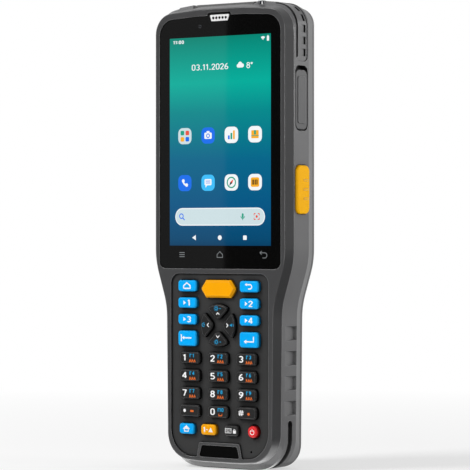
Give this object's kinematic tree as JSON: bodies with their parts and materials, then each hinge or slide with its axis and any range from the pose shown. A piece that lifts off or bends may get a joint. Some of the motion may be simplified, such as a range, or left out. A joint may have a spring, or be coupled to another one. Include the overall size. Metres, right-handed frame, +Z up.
{
  "type": "portable barcode data terminal",
  "caption": "Rugged handheld data terminal with a touch display, a numeric keypad, side scan triggers, a hinged port cover, a latched battery and a barcode scan window in its top end.",
  "frame": {"origin": "centre of the foot, on the surface that the terminal stands on, midway between the key tops and the back", "axes": "+Z up along the length from the foot to the scan window, the display and keys face -Y, +X is the user's right"},
  "size_m": [0.073, 0.0254, 0.1928],
  "materials": {
    "dark_casing": "fine grained",
    "grey_casing": "fine grained",
    "panel": "matte film",
    "black_gloss": "gloss",
    "display_glass": "polished cover glass, opaque black border",
    "display": "lit screen",
    "silver": "satin silver",
    "key_blue": "satin",
    "key_orange": "satin",
    "key_black": "satin",
    "key_red": "satin",
    "trigger_orange": "satin",
    "silicone": "matt",
    "circuit_board": "solder mask",
    "frame_metal": "cast",
    "scan_glass": "smoked",
    "lens": "polished",
    "steel": "turned",
    "gold": "plated",
    "battery_wrap": "matt wrap",
    "speaker_black": "matt"
  },
  "bodies": {
    "housing": {"front_housing": "dark_casing", "rear_housing": "grey_casing", "keypad_panel": "panel", "blank_plate": "black_gloss", "touch_glass": "display_glass", "lcd_panel": "display", "receiver_grille": "silver", "front_camera": "lens", "mid_frame": "frame_metal", "keypad_mat": "silicone", "keypad_board": "circuit_board", "main_board": "circuit_board", "scan_window": "scan_glass", "scan_engine": "black_gloss", "status_lens": "lens", "rear_camera_window": "lens", "rear_camera_module": "speaker_black", "loudspeaker": "speaker_black", "battery_pack": "battery_wrap", "battery_cover": "grey_casing", "battery_contacts": "gold", "housing_screws": "steel", "usb_socket": "steel", "charging_contacts": "gold", "trigger_switches": "speaker_black", "io_cover_pin": "steel"},
    "io_cover": {"io_cover": "grey_casing"},
    "side_trigger_right": {"side_trigger_right": "trigger_orange"},
    "side_trigger_left": {"side_trigger_left": "trigger_orange"},
    "battery_latch": {"battery_latch": "dark_casing"},
    "scan_key": {"scan_key": "key_orange"},
    "home_key": {"home_key": "key_blue"},
    "back_key": {"back_key": "key_blue"},
    "p1_key": {"p1_key": "key_blue"},
    "p2_key": {"p2_key": "key_blue"},
    "p3_key": {"p3_key": "key_blue"},
    "p4_key": {"p4_key": "key_blue"},
    "tab_key": {"tab_key": "key_blue"},
    "enter_key": {"enter_key": "key_blue"},
    "nav_up_key": {"nav_up_key": "key_black"},
    "nav_left_key": {"nav_left_key": "key_black"},
    "nav_down_key": {"nav_down_key": "key_black"},
    "nav_right_key": {"nav_right_key": "key_black"},
    "one_key": {"one_key": "key_black"},
    "two_key": {"two_key": "key_black"},
    "three_key": {"three_key": "key_black"},
    "four_key": {"four_key": "key_black"},
    "five_key": {"five_key": "key_black"},
    "six_key": {"six_key": "key_black"},
    "seven_key": {"seven_key": "key_black"},
    "eight_key": {"eight_key": "key_black"},
    "nine_key": {"nine_key": "key_black"},
    "star_key": {"star_key": "key_black"},
    "zero_key": {"zero_key": "key_black"},
    "hash_key": {"hash_key": "key_black"},
    "fn_key": {"fn_key": "key_blue"},
    "alpha_key": {"alpha_key": "key_orange"},
    "lock_key": {"lock_key": "key_black"},
    "power_key": {"power_key": "key_red"}
  },
  "joints": [
    {"name": "io_cover_hinge", "type": "hinge", "parent": "housing", "child": "io_cover", "pos_m": [0.0339, -0.00275, 0.142], "axis": [0, 1, 0], "range_deg": [0, 100]},
    {"name": "side_trigger_right_press", "type": "slide", "parent": "housing", "child": "side_trigger_right", "axis": [-1, 0, 0], "range_m": [0, 0.001], "stiffness_N_per_m": 2500},
    {"name": "side_trigger_left_press", "type": "slide", "parent": "housing", "child": "side_trigger_left", "axis": [1, 0, 0], "range_m": [0, 0.001], "stiffness_N_per_m": 2500},
    {"name": "battery_latch_slide", "type": "slide", "parent": "housing", "child": "battery_latch", "axis": [0, 0, 1], "range_m": [0, 0.0025], "stiffness_N_per_m": 600},
    {"name": "scan_key_press", "type": "slide", "parent": "housing", "child": "scan_key", "axis": [0, 1, 0], "range_m": [0, 0.0005], "stiffness_N_per_m": 2500},
    {"name": "home_key_press", "type": "slide", "parent": "housing", "child": "home_key", "axis": [0, 1, 0], "range_m": [0, 0.0005], "stiffness_N_per_m": 2500},
    {"name": "back_key_press", "type": "slide", "parent": "housing", "child": "back_key", "axis": [0, 1, 0], "range_m": [0, 0.0005], "stiffness_N_per_m": 2500},
    {"name": "p1_key_press", "type": "slide", "parent": "housing", "child": "p1_key", "axis": [0, 1, 0], "range_m": [0, 0.0005], "stiffness_N_per_m": 2500},
    {"name": "p2_key_press", "type": "slide", "parent": "housing", "child": "p2_key", "axis": [0, 1, 0], "range_m": [0, 0.0005], "stiffness_N_per_m": 2500},
    {"name": "p3_key_press", "type": "slide", "parent": "housing", "child": "p3_key", "axis": [0, 1, 0], "range_m": [0, 0.0005], "stiffness_N_per_m": 2500},
    {"name": "p4_key_press", "type": "slide", "parent": "housing", "child": "p4_key", "axis": [0, 1, 0], "range_m": [0, 0.0005], "stiffness_N_per_m": 2500},
    {"name": "tab_key_press", "type": "slide", "parent": "housing", "child": "tab_key", "axis": [0, 1, 0], "range_m": [0, 0.0005], "stiffness_N_per_m": 2500},
    {"name": "enter_key_press", "type": "slide", "parent": "housing", "child": "enter_key", "axis": [0, 1, 0], "range_m": [0, 0.0005], "stiffness_N_per_m": 2500},
    {"name": "nav_up_key_press", "type": "slide", "parent": "housing", "child": "nav_up_key", "axis": [0, 1, 0], "range_m": [0, 0.0005], "stiffness_N_per_m": 2500},
    {"name": "nav_left_key_press", "type": "slide", "parent": "housing", "child": "nav_left_key", "axis": [0, 1, 0], "range_m": [0, 0.0005], "stiffness_N_per_m": 2500},
    {"name": "nav_down_key_press", "type": "slide", "parent": "housing", "child": "nav_down_key", "axis": [0, 1, 0], "range_m": [0, 0.0005], "stiffness_N_per_m": 2500},
    {"name": "nav_right_key_press", "type": "slide", "parent": "housing", "child": "nav_right_key", "axis": [0, 1, 0], "range_m": [0, 0.0005], "stiffness_N_per_m": 2500},
    {"name": "one_key_press", "type": "slide", "parent": "housing", "child": "one_key", "axis": [0, 1, 0], "range_m": [0, 0.0005], "stiffness_N_per_m": 2500},
    {"name": "two_key_press", "type": "slide", "parent": "housing", "child": "two_key", "axis": [0, 1, 0], "range_m": [0, 0.0005], "stiffness_N_per_m": 2500},
    {"name": "three_key_press", "type": "slide", "parent": "housing", "child": "three_key", "axis": [0, 1, 0], "range_m": [0, 0.0005], "stiffness_N_per_m": 2500},
    {"name": "four_key_press", "type": "slide", "parent": "housing", "child": "four_key", "axis": [0, 1, 0], "range_m": [0, 0.0005], "stiffness_N_per_m": 2500},
    {"name": "five_key_press", "type": "slide", "parent": "housing", "child": "five_key", "axis": [0, 1, 0], "range_m": [0, 0.0005], "stiffness_N_per_m": 2500},
    {"name": "six_key_press", "type": "slide", "parent": "housing", "child": "six_key", "axis": [0, 1, 0], "range_m": [0, 0.0005], "stiffness_N_per_m": 2500},
    {"name": "seven_key_press", "type": "slide", "parent": "housing", "child": "seven_key", "axis": [0, 1, 0], "range_m": [0, 0.0005], "stiffness_N_per_m": 2500},
    {"name": "eight_key_press", "type": "slide", "parent": "housing", "child": "eight_key", "axis": [0, 1, 0], "range_m": [0, 0.0005], "stiffness_N_per_m": 2500},
    {"name": "nine_key_press", "type": "slide", "parent": "housing", "child": "nine_key", "axis": [0, 1, 0], "range_m": [0, 0.0005], "stiffness_N_per_m": 2500},
    {"name": "star_key_press", "type": "slide", "parent": "housing", "child": "star_key", "axis": [0, 1, 0], "range_m": [0, 0.0005], "stiffness_N_per_m": 2500},
    {"name": "zero_key_press", "type": "slide", "parent": "housing", "child": "zero_key", "axis": [0, 1, 0], "range_m": [0, 0.0005], "stiffness_N_per_m": 2500},
    {"name": "hash_key_press", "type": "slide", "parent": "housing", "child": "hash_key", "axis": [0, 1, 0], "range_m": [0, 0.0005], "stiffness_N_per_m": 2500},
    {"name": "fn_key_press", "type": "slide", "parent": "housing", "child": "fn_key", "axis": [0, 1, 0], "range_m": [0, 0.0005], "stiffness_N_per_m": 2500},
    {"name": "alpha_key_press", "type": "slide", "parent": "housing", "child": "alpha_key", "axis": [0, 1, 0], "range_m": [0, 0.0005], "stiffness_N_per_m": 2500},
    {"name": "lock_key_press", "type": "slide", "parent": "housing", "child": "lock_key", "axis": [0, 1, 0], "range_m": [0, 0.0005], "stiffness_N_per_m": 2500},
    {"name": "power_key_press", "type": "slide", "parent": "housing", "child": "power_key", "axis": [0, 1, 0], "range_m": [0, 0.0005], "stiffness_N_per_m": 2500}
  ]
}
